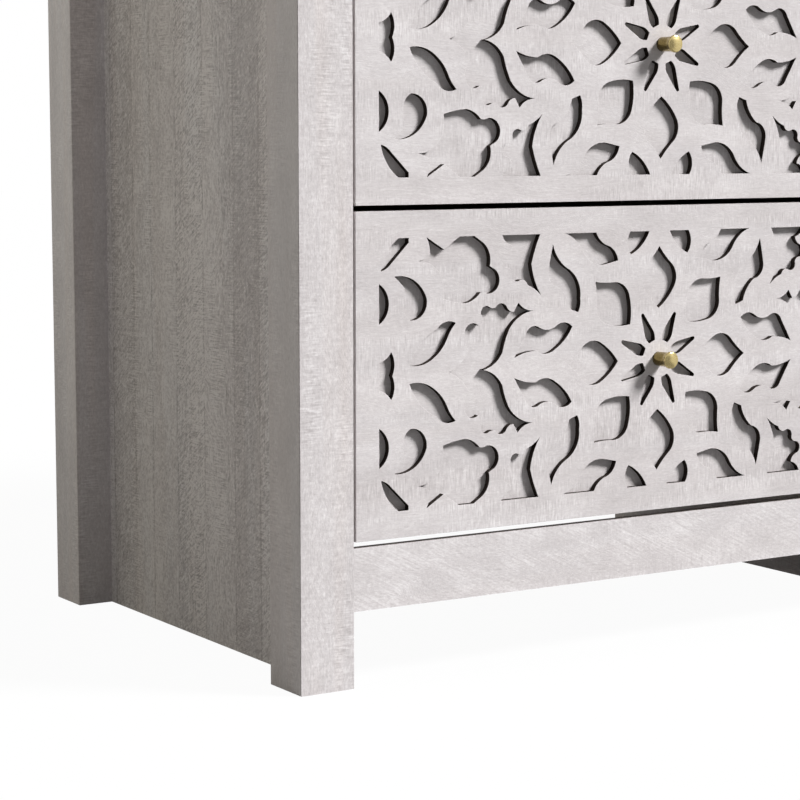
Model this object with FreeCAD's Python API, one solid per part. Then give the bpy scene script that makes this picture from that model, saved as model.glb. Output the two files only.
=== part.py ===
import FreeCAD
import Part
import math
import os

Vec = FreeCAD.Vector

# Driving sizes, in millimetres

# Carcass
LEG = 42.0                # square section of the four corner legs
CARCASS_DEPTH = 400.0     # front face of the front legs to rear face of the rear legs
SIDE_PANEL = 13.0         # side panel thickness, inner face flush with the legs
RAIL_H = 44.0             # height of the front and rear rails
RAIL_T = 18.0             # thickness of the rails and the center stile
RAIL_LIP = 6.0            # front lip of the bottom front rail, under the drawers
RAIL_REBATE = 5.0         # depth of the rebate behind that lip
TOE_HEIGHT = 53.5         # floor to the lower edge of the bottom rails
STILE_W = 42.0            # width of the center stile
PARTITION = 22.0          # center partition thickness
TOP_T = 22.0              # top board thickness
TOP_OVERHANG = 12.0       # top past the legs at the sides and the front
BACK_T = 3.0              # hardboard back
BACK_REBATE = 10.0        # width of the step in the rear legs that takes the back
BACK_JOINT = 1.0          # gap between the two back boards on the partition
ARRIS = 0.4               # small chamfer along the outer edges of the legs and the top

# Drawers
DRAWER_W = 520.0          # drawer front width
DRAWER_H = 224.5          # drawer front height
SIDE_GAP = 2.0            # drawer front to leg or stile
DRAWER_GAP = 4.0          # drawer front to drawer front or rail
FRONT_T = 12.0            # board behind the fretwork
BOX_T = 12.0              # drawer box boards
BOX_LIFT = 22.0           # lower edge of the front to lower edge of the box
BOX_HEADROOM = 42.5       # upper edge of the box to upper edge of the front
BOX_REAR_ROOM = 18.4      # back of the box to the rear rails
BOTTOM_T = 3.0            # drawer bottom thickness
BOTTOM_LIFT = 10.0        # lower edge of the box to the groove of the bottom
GROOVE_DEPTH = 5.0        # how far the bottom is housed in the sides and the front
GROOVE_PLAY = 0.4         # groove height past the bottom's thickness

# Fretwork
FRET_T = 4.5              # thickness of the pierced overlay
FRET_MARGIN = 18.5        # plain border around the pierced field

# Slides
RUNNER_H = 35.0           # height of the cabinet channel
RUNNER_GAP = 12.7         # drawer box to the panel or cleat beside it
CHANNEL_WALL = 1.2        # sheet thickness of both slide members
CHANNEL_DEPTH = 9.0       # flange of the cabinet channel
CHANNEL_SETBACK = 20.0    # front of the legs to the front of the cabinet channel
RUNNER_SETBACK = 3.5      # back of the drawer front to the front of the drawer member
RUNNER_END = 0.6          # rear end of the drawer member to the back of the box
RUNNER_PLAY = 0.3         # running clearance between the two members
CLEAT_MARGIN = 4.0        # cleat past the channel, above and below

# Knob and its screw
KNOB_LENGTH = 17.0        # knob base to end face
KNOB_BASE_D = 10.4        # stem at the drawer front
KNOB_NECK_D = 10.8        # stem where it flares into the head
KNOB_HEAD_D = 12.6        # widest part of the head
KNOB_NECK = 11.6          # knob base to the start of the flare
KNOB_HEAD = 14.4          # knob base to the widest part
KNOB_EDGE = 1.3           # rounding at the rim of the end face
KNOB_DOME = 0.8           # rise of the domed end face past its rim
SCREW_D = 4.0             # knob screw
SCREW_LENGTH = 25.0       # under the head
SCREW_HEAD_D = 8.0
SCREW_HEAD_H = 2.6
SCREW_SLOT_W = 1.2        # cross recess
SCREW_SLOT_L = 4.4
SCREW_SLOT_H = 1.1
SCREW_PLAY = 0.25         # radial clearance of the screw in the boards and the knob
SCREW_TIP_ROOM = 1.0      # blind end past the screw's tip

# Dowels
DOWEL_D = 6.0
DOWEL_LENGTH = 30.0
DOWEL_PLAY = 0.1          # radial clearance
DOWEL_END_ROOM = 1.0      # spare hole depth at each end
DOWEL_EDGE = 11.0         # edge of a rail or stile to its dowels
PANEL_DOWEL_EDGE = 60.0   # end of a side panel or the partition to its outer dowels

# Fretwork outlines, drawn for a pierced field of this half width and half height.
# Each outline starts at a point and goes on by straight steps (one point) or
# arcs (a point to pass through and an end point), as (outward, upward) pairs.
FIELD_U = 241.5
FIELD_V = 93.5

SPRIG = ((9.5, 93.5),
         ((27.0, 93.5),),
         ((29.5, 86.0), (26.3, 77.0)),
         ((16.8, 83.2), (9.5, 93.5)))
OGEE_PETAL = ((38.0, 73.0),
              ((40.5, 79.0), (46.0, 83.5)),
              ((53.6, 87.4), (58.0, 93.5)),
              ((85.7, 93.5),),
              ((75.8, 88.3), (70.1, 81.2)),
              ((62.3, 73.0), (50.0, 70.5)),
              ((38.0, 73.0),))
TALL_LEAF = ((96.3, 86.0),
             ((91.8, 76.3), (83.7, 68.9)),
             ((74.9, 61.0), (71.8, 47.0)),
             ((72.0, 41.3), (73.7, 37.1)),
             ((80.6, 39.6),),
             ((84.6, 49.0), (91.0, 55.7)),
             ((98.4, 60.2), (100.2, 67.0)),
             ((98.3, 77.0), (96.3, 86.0)))
LONG_LEAF = ((78.7, 27.0),
             ((85.5, 30.3), (93.0, 28.0)),
             ((100.5, 25.6), (107.0, 27.2)),
             ((113.8, 28.6), (119.2, 23.6)),
             ((129.2, 7.1),),
             ((119.5, 10.4), (110.5, 11.2)),
             ((102.5, 8.7), (94.0, 11.3)),
             ((85.5, 17.8), (78.7, 27.0)))
SERRATED_LEAF = ((107.6, 93.5),
                 ((140.0, 93.5),),
                 ((137.2, 89.2), (131.5, 86.3)),
                 ((133.2, 82.4), (137.0, 80.0)),
                 ((140.3, 75.3), (136.0, 70.8)),
                 ((133.0, 69.6), (131.8, 66.7)),
                 ((130.3, 61.8), (125.0, 61.7)),
                 ((120.5, 61.3), (118.3, 58.2)),
                 ((113.5, 56.0), (106.5, 50.5)),
                 ((112.2, 61.5), (115.0, 73.0)),
                 ((112.3, 82.0), (107.6, 93.5)))
PALMETTE = ((163.6, 93.5),
            ((176.0, 93.5),),
            ((188.8, 84.8),),
            ((203.0, 93.5),),
            ((200.8, 87.5), (200.3, 81.5)),
            ((204.0, 79.3), (210.0, 77.4)),
            ((199.5, 74.9), (190.5, 65.0)),
            ((189.2, 57.5), (189.3, 50.8)),
            ((180.5, 48.6), (171.0, 47.3)),
            ((164.0, 49.6), (158.7, 54.1)),
            ((155.5, 54.3), (152.5, 53.3)),
            ((142.4, 62.0), (146.2, 69.9)),
            ((150.8, 72.4),),
            ((151.2, 82.0), (156.5, 89.0)),
            ((163.6, 93.5),))
CORNER_LEAF = ((217.8, 93.5),
               ((226.0, 93.5),),
               ((235.5, 83.2), (240.0, 71.4)),
               ((236.3, 72.8), (232.0, 76.3)),
               ((217.8, 90.3),),
               ((217.8, 93.5),))
HALF_MOON = ((241.5, 62.9),
             ((233.7, 49.2), (241.5, 35.5)),
             ((241.5, 62.9),))
PAISLEY = ((229.2, 67.6),
           ((212.3, 63.9), (203.0, 51.5)),
           ((206.0, 41.2), (216.0, 37.2)),
           ((220.4, 41.3), (222.2, 48.5)),
           ((221.8, 54.0), (220.8, 59.3)),
           ((224.3, 63.0), (229.2, 67.6)))
COMMA_LEAF = ((179.0, 34.0),
              ((186.5, 35.2), (194.3, 30.6)),
              ((207.5, 21.5), (217.0, 6.3)),
              ((206.0, 6.4), (197.5, 10.3)),
              ((190.7, 16.3), (186.0, 23.7)),
              ((182.8, 29.5), (179.0, 34.0)))
QUARTER_MOTIFS = (SPRIG, OGEE_PETAL, TALL_LEAF, LONG_LEAF, SERRATED_LEAF, PALMETTE,
                  CORNER_LEAF, HALF_MOON, PAISLEY, COMMA_LEAF)

# Upper halves of the two outlines that lie across the middle line
MEDALLION_HALF = ((156.0, 0.0),
                  ((145.5, 4.5), (139.6, 11.5)),
                  ((137.8, 18.0), (134.0, 27.3)),
                  ((126.0, 35.4), (112.5, 39.8)),
                  ((119.5, 41.0), (126.0, 46.0)),
                  ((129.8, 39.6),),
                  ((133.5, 40.6), (136.2, 43.8)),
                  ((140.0, 46.0), (145.5, 43.2)),
                  ((148.3, 43.0), (151.0, 44.0)),
                  ((156.2, 43.7), (157.3, 38.0)),
                  ((156.4, 34.5), (160.0, 31.4)),
                  ((165.8, 33.0), (171.5, 27.0)),
                  ((171.6, 21.0), (168.0, 14.5)),
                  ((173.5, 7.0), (185.0, 0.0)))
HALF_FLOWER = ((231.0, 0.0),
               ((229.2, 7.6), (231.8, 16.4)),
               ((235.5, 12.2), (241.5, 9.3)),
               ((241.5, 0.0),))

# Rosette pieces, one side each, as (distance from the center, half width)
PETAL_SIDE = ((14.0, 2.8),
              ((17.0, 4.0), (20.5, 4.35)),
              ((35.8, 1.3),),
              ((36.6, 0.8), (36.9, 0.0)))
LEAF_SIDE = ((37.3, 0.0),
             ((44.3, 8.0), (53.0, 14.3)),
             ((61.0, 15.9), (69.0, 12.2)),
             ((75.1, 5.8), (82.3, 0.0)))
ROSETTE_LEAVES = 8
PETAL_TURNS = (22.5, 65.3)   # degrees from the level, in each quarter

ROWS = ("bottom", "middle", "top")
SIDES = ((-1, "left"), (1, "right"))

# Sizes that follow from the driving sizes
COLUMN_W = DRAWER_W + 2 * SIDE_GAP
CARCASS_W = 2 * LEG + 2 * COLUMN_W + STILE_W
HALF_W = CARCASS_W / 2
RAIL_TOP = TOE_HEIGHT + RAIL_H
PITCH = DRAWER_H + DRAWER_GAP
UPPER_RAIL = RAIL_TOP + DRAWER_GAP + len(ROWS) * PITCH
CARCASS_H = UPPER_RAIL + RAIL_H
FRONT_Y = (max(KNOB_LENGTH, TOP_OVERHANG) - CARCASS_DEPTH) / 2
REAR_Y = FRONT_Y + CARCASS_DEPTH
BACK_Y = REAR_Y - BACK_T
BOARD_Y = FRONT_Y + FRET_T
BOX_Y = BOARD_Y + FRONT_T
BOX_H = DRAWER_H - BOX_LIFT - BOX_HEADROOM
BOX_DEPTH = BACK_Y - RAIL_T - BOX_REAR_ROOM - BOX_Y
CHANNEL_LENGTH = BOX_DEPTH - RUNNER_SETBACK - RUNNER_END
COLUMN_X = STILE_W / 2 + COLUMN_W / 2
BOX_HALF = COLUMN_W / 2 - RUNNER_GAP
RUNNER_Z = BOX_LIFT + BOX_H / 2
HOLE_D = SCREW_D + 2 * SCREW_PLAY

nodes = {}
holes = {}
dowels = []


def block(xs, ys, zs):
    """A board between pairs of faces along the three axes."""
    low = Vec(min(xs), min(ys), min(zs))
    return Part.makeBox(abs(xs[1] - xs[0]), abs(ys[1] - ys[0]), abs(zs[1] - zs[0]), low)


def eased(plain, outer_x):
    """A leg with the edges of its outer face eased."""
    return plain.makeChamfer(ARRIS, [edge for edge in plain.Edges
                                     if abs(edge.CenterOfMass.x) > outer_x - ARRIS])


def dowel_joint(first, second, axis, points):
    """Dowels across the face that two boards share, with their holes in both."""
    for point in points:
        middle = Vec(*point)
        start = middle - axis * (DOWEL_LENGTH / 2)
        dowels.append(Part.makeCylinder(DOWEL_D / 2, DOWEL_LENGTH, start, axis))
        hole_length = DOWEL_LENGTH + 2 * DOWEL_END_ROOM
        hole_start = middle - axis * (hole_length / 2)
        hole = Part.makeCylinder(DOWEL_D / 2 + DOWEL_PLAY, hole_length, hole_start, axis)
        for name in (first, second):
            holes.setdefault(name, []).append(hole)


# Legs, with the step for the back in the rear pair
FRONT_LEG_Y = (FRONT_Y, FRONT_Y + LEG)
REAR_LEG_Y = (REAR_Y - LEG, REAR_Y)
LEG_Z = (0, CARCASS_H)
BACK_Z = (TOE_HEIGHT, CARCASS_H)
for side, name in SIDES:
    leg_x = (side * (HALF_W - LEG), side * HALF_W)
    nodes[f"front_leg_{name}"] = eased(block(leg_x, FRONT_LEG_Y, LEG_Z), HALF_W)
    step_x = (side * (HALF_W - LEG), side * (HALF_W - LEG + BACK_REBATE))
    step = block(step_x, (BACK_Y, REAR_Y), BACK_Z)
    nodes[f"rear_leg_{name}"] = eased(block(leg_x, REAR_LEG_Y, LEG_Z), HALF_W).cut(step)

# Side panels between the legs, down to the floor
PANEL_Y = (FRONT_LEG_Y[1], REAR_LEG_Y[0])
for side, name in SIDES:
    panel_x = (side * (HALF_W - LEG), side * (HALF_W - LEG + SIDE_PANEL))
    nodes[f"side_panel_{name}"] = block(panel_x, PANEL_Y, LEG_Z)

# Rails between the legs, the bottom front one rebated under each column of drawers,
# and the stile between the front rails
RAIL_X = (LEG - HALF_W, HALF_W - LEG)
FRONT_RAIL_Y = (FRONT_Y, FRONT_Y + RAIL_T)
REAR_RAIL_Y = (BACK_Y - RAIL_T, BACK_Y)
LOWER_Z = (TOE_HEIGHT, RAIL_TOP)
UPPER_Z = (UPPER_RAIL, CARCASS_H)
rebates = [block((side * STILE_W / 2, side * (HALF_W - LEG)), (FRONT_Y + RAIL_LIP, FRONT_RAIL_Y[1]),
                 (RAIL_TOP - RAIL_REBATE, RAIL_TOP)) for side, name in SIDES]
nodes["bottom_front_rail"] = block(RAIL_X, FRONT_RAIL_Y, LOWER_Z).cut(rebates)
nodes["top_front_rail"] = block(RAIL_X, FRONT_RAIL_Y, UPPER_Z)
nodes["rear_bottom_rail"] = block(RAIL_X, REAR_RAIL_Y, LOWER_Z)
nodes["rear_top_rail"] = block(RAIL_X, REAR_RAIL_Y, UPPER_Z)
STILE_X = (-STILE_W / 2, STILE_W / 2)
nodes["center_stile"] = block(STILE_X, FRONT_RAIL_Y, (RAIL_TOP, UPPER_RAIL))

# Center partition from the stile to the back, notched round the rear rails and the back boards,
# with a foot that ends flush with the rear legs
PARTITION_X = (-PARTITION / 2, PARTITION / 2)
notches = [block(PARTITION_X, REAR_RAIL_Y, rail_z) for rail_z in (LOWER_Z, UPPER_Z)]
notches.append(block(PARTITION_X, (BACK_Y, REAR_Y), BACK_Z))
nodes["center_partition"] = block(PARTITION_X, (FRONT_RAIL_Y[1], REAR_Y), LEG_Z).cut(notches)

# Back boards, in the legs' steps and over the rear rails and the partition
for side, name in SIDES:
    back_x = (side * BACK_JOINT / 2, side * (HALF_W - LEG + BACK_REBATE))
    nodes[f"back_panel_{name}"] = block(back_x, (BACK_Y, REAR_Y), BACK_Z)

# Top board, flush at the rear
TOP_X = (-HALF_W - TOP_OVERHANG, HALF_W + TOP_OVERHANG)
top_board = block(TOP_X, (FRONT_Y - TOP_OVERHANG, REAR_Y), (CARCASS_H, CARCASS_H + TOP_T))
nodes["top_panel"] = top_board.makeChamfer(ARRIS, top_board.Edges)

# Dowels: rails to legs, panels to legs, stile and partition to rails, top to legs
ALONG_X = Vec(1, 0, 0)
ALONG_Y = Vec(0, 1, 0)
ALONG_Z = Vec(0, 0, 1)
RAIL_MID = {"front": sum(FRONT_RAIL_Y) / 2, "rear": sum(REAR_RAIL_Y) / 2}
RAILS = (("bottom_front_rail", "front", LOWER_Z), ("top_front_rail", "front", UPPER_Z),
         ("rear_bottom_rail", "rear", LOWER_Z), ("rear_top_rail", "rear", UPPER_Z))
for side, name in SIDES:
    for rail, place, rail_z in RAILS:
        heights = (rail_z[0] + DOWEL_EDGE, rail_z[1] - DOWEL_EDGE)
        spots = [(side * (HALF_W - LEG), RAIL_MID[place], z) for z in heights]
        dowel_joint(rail, f"{place}_leg_{name}", ALONG_X, spots)
    panel_mid = side * (HALF_W - LEG + SIDE_PANEL / 2)
    heights = (PANEL_DOWEL_EDGE, CARCASS_H / 2, CARCASS_H - PANEL_DOWEL_EDGE)
    for place, joint_y in (("front", PANEL_Y[0]), ("rear", PANEL_Y[1])):
        spots = [(panel_mid, joint_y, z) for z in heights]
        dowel_joint(f"side_panel_{name}", f"{place}_leg_{name}", ALONG_Y, spots)
        leg_mid = (side * (HALF_W - LEG / 2), joint_y + (LEG / 2 if place == "rear" else -LEG / 2))
        dowel_joint("top_panel", f"{place}_leg_{name}", ALONG_Z, [(*leg_mid, CARCASS_H)])
for rail, joint_z in (("bottom_front_rail", RAIL_TOP), ("top_front_rail", UPPER_RAIL)):
    offsets = (STILE_X[0] + DOWEL_EDGE, STILE_X[1] - DOWEL_EDGE)
    dowel_joint("center_stile", rail, ALONG_Z, [(x, RAIL_MID["front"], joint_z) for x in offsets])
dowel_joint("center_partition", "center_stile", ALONG_Y,
            [(0, FRONT_RAIL_Y[1], z) for z in (RAIL_TOP + PANEL_DOWEL_EDGE, UPPER_RAIL - PANEL_DOWEL_EDGE)])
top_spots = (FRONT_RAIL_Y[1] + PANEL_DOWEL_EDGE, REAR_RAIL_Y[0] - PANEL_DOWEL_EDGE)
dowel_joint("center_partition", "top_panel", ALONG_Z, [(0, y, CARCASS_H) for y in top_spots])
for name, cutters in holes.items():
    nodes[name] = nodes[name].cut(cutters)
nodes["assembly_dowels"] = Part.makeCompound(dowels)


# Slides: a channel on each wall of a column, and the member nested in it on the drawer
def channel(base_x, towards, reach, height, start_y, middle_z):
    """A sheet channel whose web lies at base_x and whose flanges reach along X."""
    ys = (start_y, start_y + CHANNEL_LENGTH)
    outer_z = (middle_z - height / 2, middle_z + height / 2)
    inner_z = (outer_z[0] + CHANNEL_WALL, outer_z[1] - CHANNEL_WALL)
    outer = block((base_x, base_x + towards * reach), ys, outer_z)
    hollow = block((base_x + towards * CHANNEL_WALL, base_x + towards * reach), ys, inner_z)
    return outer.cut(hollow)


channels = []
cleats = []
cleat_half = RUNNER_H / 2 + CLEAT_MARGIN
channel_y = FRONT_Y + CHANNEL_SETBACK
for row in range(len(ROWS)):
    runner_z = RAIL_TOP + DRAWER_GAP + row * PITCH + RUNNER_Z
    for side, name in SIDES:
        wall_x = side * (HALF_W - LEG)
        cleat_x = side * STILE_W / 2
        channels.append(channel(wall_x, -side, CHANNEL_DEPTH, RUNNER_H, channel_y, runner_z))
        channels.append(channel(cleat_x, side, CHANNEL_DEPTH, RUNNER_H, channel_y, runner_z))
        cleats.append(block((side * PARTITION / 2, cleat_x), (channel_y, channel_y + CHANNEL_LENGTH),
                            (runner_z - cleat_half, runner_z + cleat_half)))
nodes["runner_channels"] = Part.makeCompound(channels)
nodes["runner_cleats"] = Part.makeCompound(cleats)


# Fretwork: outlines mirrored into the field of the drawer front
STRETCH_U = (DRAWER_W / 2 - FRET_MARGIN) / FIELD_U
STRETCH_V = (DRAWER_H / 2 - FRET_MARGIN) / FIELD_V


def on_front(u, v):
    """A point of the pierced field on the face of a drawer front at its lowest place."""
    return Vec(u * STRETCH_U, FRONT_Y, DRAWER_H / 2 + v * STRETCH_V)


def outline(start, steps, place):
    """A closed wire of lines and arcs through placed points."""
    edges = []
    here = place(*start)
    for step in steps:
        points = [place(*point) for point in step]
        if len(points) == 1:
            edges.append(Part.LineSegment(here, points[0]).toShape())
        else:
            edges.append(Part.Arc(here, *points).toShape())
        here = points[-1]
    return Part.Wire(edges)


def with_mirror(half):
    """A half outline and the way back along its mirror image in the second coordinate."""
    start, *steps = half
    ends = [start] + [step[-1] for step in steps]
    back = []
    for index in range(len(steps), 0, -1):
        passed = [(u, -v) for u, v in steps[index - 1][:-1]]
        u, v = ends[index - 1]
        back.append((*passed, (u, -v)))
    return start, list(steps) + back


def along(turn, place):
    """Places (distance, offset) pairs along a spoke turned by that many degrees."""
    cosine, sine = math.cos(math.radians(turn)), math.sin(math.radians(turn))

    def spoke(radius, offset):
        return place(radius * cosine - offset * sine, radius * sine + offset * cosine)
    return spoke


def fretwork():
    """The pierced overlay of one drawer front."""
    petal_start, petal_steps = with_mirror(PETAL_SIDE)
    petal_steps.append((petal_start,))
    wires = []
    for mirror_u in (-1, 1):
        def across(u, v):
            return on_front(mirror_u * u, v)
        for half in (MEDALLION_HALF, HALF_FLOWER):
            wires.append(outline(*with_mirror(half), across))
        for mirror_v in (-1, 1):
            def corner(u, v):
                return on_front(mirror_u * u, mirror_v * v)
            for start, *steps in QUARTER_MOTIFS:
                wires.append(outline(start, steps, corner))
            for turn in PETAL_TURNS:
                wires.append(outline(petal_start, petal_steps, along(turn, corner)))
    for leaf in range(ROSETTE_LEAVES):
        wires.append(outline(*with_mirror(LEAF_SIDE), along(360 * leaf / ROSETTE_LEAVES, on_front)))
    screw_hole = Part.Circle(on_front(0, 0), Vec(0, 1, 0), HOLE_D / 2)
    wires.append(Part.Wire([screw_hole.toShape()]))
    corners = [(-DRAWER_W / 2, 0), (DRAWER_W / 2, 0), (DRAWER_W / 2, DRAWER_H), (-DRAWER_W / 2, DRAWER_H)]
    rim = Part.makePolygon([Vec(x, FRONT_Y, z) for x, z in corners + corners[:1]])
    sheet = Part.makeFace([rim] + wires, "Part::FaceMakerBullseye")
    return sheet.extrude(Vec(0, FRET_T, 0))


# Drawer pieces at the middle of a column, with the front's lower edge at height 0
def screw_shank(diameter, length, start_y):
    """A cylinder on the knob's axis, from start_y towards the front."""
    return Part.makeCylinder(diameter / 2, length, Vec(0, start_y, DRAWER_H / 2), Vec(0, -1, 0))


def drawer_front():
    """The board behind the fretwork, with the groove of the bottom and the screw hole."""
    plain = block((-DRAWER_W / 2, DRAWER_W / 2), (BOARD_Y, BOX_Y), (0, DRAWER_H))
    groove_z = BOX_LIFT + BOTTOM_LIFT
    groove_half = BOX_HALF - BOX_T + GROOVE_DEPTH
    groove = block((-groove_half, groove_half), (BOX_Y - GROOVE_DEPTH, BOX_Y),
                   (groove_z, groove_z + BOTTOM_T + GROOVE_PLAY))
    return plain.cut([groove, screw_shank(HOLE_D, FRONT_T, BOX_Y)])


def knob():
    """A turned knob: stem, flared neck and rounded head, with a blind hole for the screw."""
    def at(radius, length):
        return Vec(radius, FRONT_Y - length, DRAWER_H / 2)
    base_r, neck_r, head_r = KNOB_BASE_D / 2, KNOB_NECK_D / 2, KNOB_HEAD_D / 2
    flare = at(neck_r + (head_r - neck_r) / 4, (KNOB_NECK + KNOB_HEAD) / 2)
    bend = KNOB_EDGE * (1 - math.sqrt(0.5))
    face_r = head_r - KNOB_EDGE
    rim = KNOB_LENGTH - KNOB_DOME
    dome_r = (face_r ** 2 + KNOB_DOME ** 2) / (2 * KNOB_DOME)
    half_turn = math.asin(face_r / dome_r) / 2
    crown = at(dome_r * math.sin(half_turn), KNOB_LENGTH - dome_r * (1 - math.cos(half_turn)))
    profile = Part.Wire([
        Part.LineSegment(at(0, 0), at(base_r, 0)).toShape(),
        Part.LineSegment(at(base_r, 0), at(neck_r, KNOB_NECK)).toShape(),
        Part.Arc(at(neck_r, KNOB_NECK), flare, at(head_r, KNOB_HEAD)).toShape(),
        Part.LineSegment(at(head_r, KNOB_HEAD), at(head_r, rim - KNOB_EDGE)).toShape(),
        Part.Arc(at(head_r, rim - KNOB_EDGE), at(head_r - bend, rim - bend), at(face_r, rim)).toShape(),
        Part.Arc(at(face_r, rim), crown, at(0, KNOB_LENGTH)).toShape(),
        Part.LineSegment(at(0, KNOB_LENGTH), at(0, 0)).toShape()])
    turned = Part.Face(profile).revolve(at(0, 0), Vec(0, 1, 0), 360)
    hole_depth = SCREW_LENGTH - FRET_T - FRONT_T + SCREW_TIP_ROOM
    return turned.cut(screw_shank(HOLE_D, hole_depth, FRONT_Y))


def knob_screw():
    """The screw through the front into the knob, with a cross recess in its head."""
    shank = screw_shank(SCREW_D, SCREW_LENGTH, BOX_Y)
    head = screw_shank(SCREW_HEAD_D, SCREW_HEAD_H, BOX_Y + SCREW_HEAD_H)
    outer_rim = [edge for edge in head.Edges if edge.BoundBox.YMin > BOX_Y + SCREW_HEAD_H / 2]
    head = head.makeFillet(SCREW_HEAD_H / 2, outer_rim)
    slot_y = (BOX_Y + SCREW_HEAD_H - SCREW_SLOT_H, BOX_Y + SCREW_HEAD_H)
    slots = []
    for width, height in ((SCREW_SLOT_L, SCREW_SLOT_W), (SCREW_SLOT_W, SCREW_SLOT_L)):
        slots.append(block((-width / 2, width / 2), slot_y,
                           (DRAWER_H / 2 - height / 2, DRAWER_H / 2 + height / 2)))
    return shank.fuse(head).cut(slots).removeSplitter()


def drawer_box():
    """Two grooved sides and the back between them, standing on the bottom."""
    low = BOX_LIFT
    bottom_z = low + BOTTOM_LIFT
    ys = (BOX_Y, BOX_Y + BOX_DEPTH)
    pieces = []
    for side, name in SIDES:
        inner = side * (BOX_HALF - BOX_T)
        plain = block((inner, side * BOX_HALF), ys, (low, low + BOX_H))
        groove = block((inner, inner + side * GROOVE_DEPTH), ys,
                       (bottom_z, bottom_z + BOTTOM_T + GROOVE_PLAY))
        pieces.append(plain.cut(groove))
    pieces.append(block((BOX_T - BOX_HALF, BOX_HALF - BOX_T), (ys[1] - BOX_T, ys[1]),
                        (bottom_z + BOTTOM_T, low + BOX_H)))
    return Part.makeCompound(pieces)


def drawer_bottom():
    """The hardboard bottom, housed in the sides and the front."""
    half = BOX_HALF - BOX_T + GROOVE_DEPTH - GROOVE_PLAY
    low = BOX_LIFT + BOTTOM_LIFT
    return block((-half, half), (BOX_Y - GROOVE_DEPTH + GROOVE_PLAY, BOX_Y + BOX_DEPTH),
                 (low, low + BOTTOM_T))


def drawer_runners():
    """The drawer members of both slides, nested in the cabinet channels."""
    height = RUNNER_H - 2 * (CHANNEL_WALL + RUNNER_PLAY)
    reach = RUNNER_GAP - CHANNEL_WALL - RUNNER_PLAY
    start_y = BOX_Y + RUNNER_SETBACK
    return Part.makeCompound([channel(side * BOX_HALF, side, reach, height, start_y, RUNNER_Z)
                              for side, name in SIDES])


DRAWER_PIECES = {"front": drawer_front(), "fretwork": fretwork(), "knob": knob(),
                 "knob_screw": knob_screw(), "box": drawer_box(), "bottom": drawer_bottom(),
                 "runners": drawer_runners()}
for row, row_name in enumerate(ROWS):
    for side, side_name in SIDES:
        place = Vec(side * COLUMN_X, 0, RAIL_TOP + DRAWER_GAP + row * PITCH)
        for piece, shape in DRAWER_PIECES.items():
            nodes[f"{row_name}_{side_name}_drawer_{piece}"] = shape.translated(place)

os.makedirs("parts", exist_ok=True)
for name, shape in nodes.items():
    shape.exportStep(f"parts/{name}.step")
print(len(nodes), "pieces, carcass", CARCASS_W, "x", CARCASS_DEPTH, "x", CARCASS_H + TOP_T)
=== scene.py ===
"""Finishes, fittings and stage of a six-drawer dresser with pierced drawer fronts."""
import math

import bmesh
import bpy
from bpy.props import FloatProperty, FloatVectorProperty, IntProperty, PointerProperty
from mathutils import Matrix, Vector


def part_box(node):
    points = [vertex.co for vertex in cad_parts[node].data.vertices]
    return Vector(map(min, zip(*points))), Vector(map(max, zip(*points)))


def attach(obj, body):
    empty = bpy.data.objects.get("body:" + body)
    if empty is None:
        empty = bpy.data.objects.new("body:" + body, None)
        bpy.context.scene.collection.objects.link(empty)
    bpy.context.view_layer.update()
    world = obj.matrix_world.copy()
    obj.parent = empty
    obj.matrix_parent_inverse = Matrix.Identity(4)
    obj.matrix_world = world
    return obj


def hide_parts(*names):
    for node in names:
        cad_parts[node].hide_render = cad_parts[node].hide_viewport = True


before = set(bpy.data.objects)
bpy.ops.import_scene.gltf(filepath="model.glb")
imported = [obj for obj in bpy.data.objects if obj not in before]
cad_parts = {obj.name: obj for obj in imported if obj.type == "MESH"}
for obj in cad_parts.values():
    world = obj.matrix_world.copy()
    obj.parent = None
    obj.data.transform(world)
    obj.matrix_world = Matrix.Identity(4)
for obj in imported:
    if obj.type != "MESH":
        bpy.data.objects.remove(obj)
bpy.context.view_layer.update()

bl_info = {
    "name": "Fretwork Dresser",
    "version": (1, 0, 0),
    "blender": (4, 5, 0),
    "location": "View3D > Sidebar > Dresser",
    "description": "Finishes, fittings and stage of a six-drawer dresser with pierced drawer fronts",
    "category": "Object",
}

MM = 0.001
MERGE = 1e-6                # points nearer than this are one
SHARP = math.radians(30)    # faces that meet at more than this make an edge to ease
FACING = 0.5                # least part of a face's normal along an axis that it faces
WHITE = (1.0, 1.0, 1.0, 1.0)

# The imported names
CARCASS = "carcass"
SIDES = ("left", "right")
ROWS = ("bottom", "middle", "top")
DRAWERS = [f"{row}_{side}_drawer" for row in ROWS for side in SIDES]

# Directions of the wood grain, as turns of a pattern whose grain lies along X
GRAIN = {
    "X": (0.0, 0.0, 0.0),
    "Y": (0.0, 0.0, math.radians(90)),
    "Z": (0.0, math.radians(-90), 0.0),
}


def srgb(red, green, blue):
    """A screen colour, 0 to 255 each, as the linear colour that the shaders take."""
    def linear(value):
        part = value / 255
        return part / 12.92 if part <= 0.04045 else ((part + 0.055) / 1.055) ** 2.4
    return tuple(linear(value) for value in (red, green, blue))


def colour(name, description, red, green, blue):
    """A colour that a user can change."""
    return FloatVectorProperty(name=name, description=description, subtype="COLOR", size=3,
                               min=0.0, max=1.0, default=srgb(red, green, blue))


def length(name, description, millimetres):
    """A length that a user can change."""
    return FloatProperty(name=name, description=description, subtype="DISTANCE", unit="LENGTH",
                         min=0.0, default=millimetres * MM)


def share(name, description, value):
    """A plain factor that a user can change."""
    return FloatProperty(name=name, description=description, subtype="FACTOR", min=0.0, max=1.0,
                         default=value)


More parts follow.
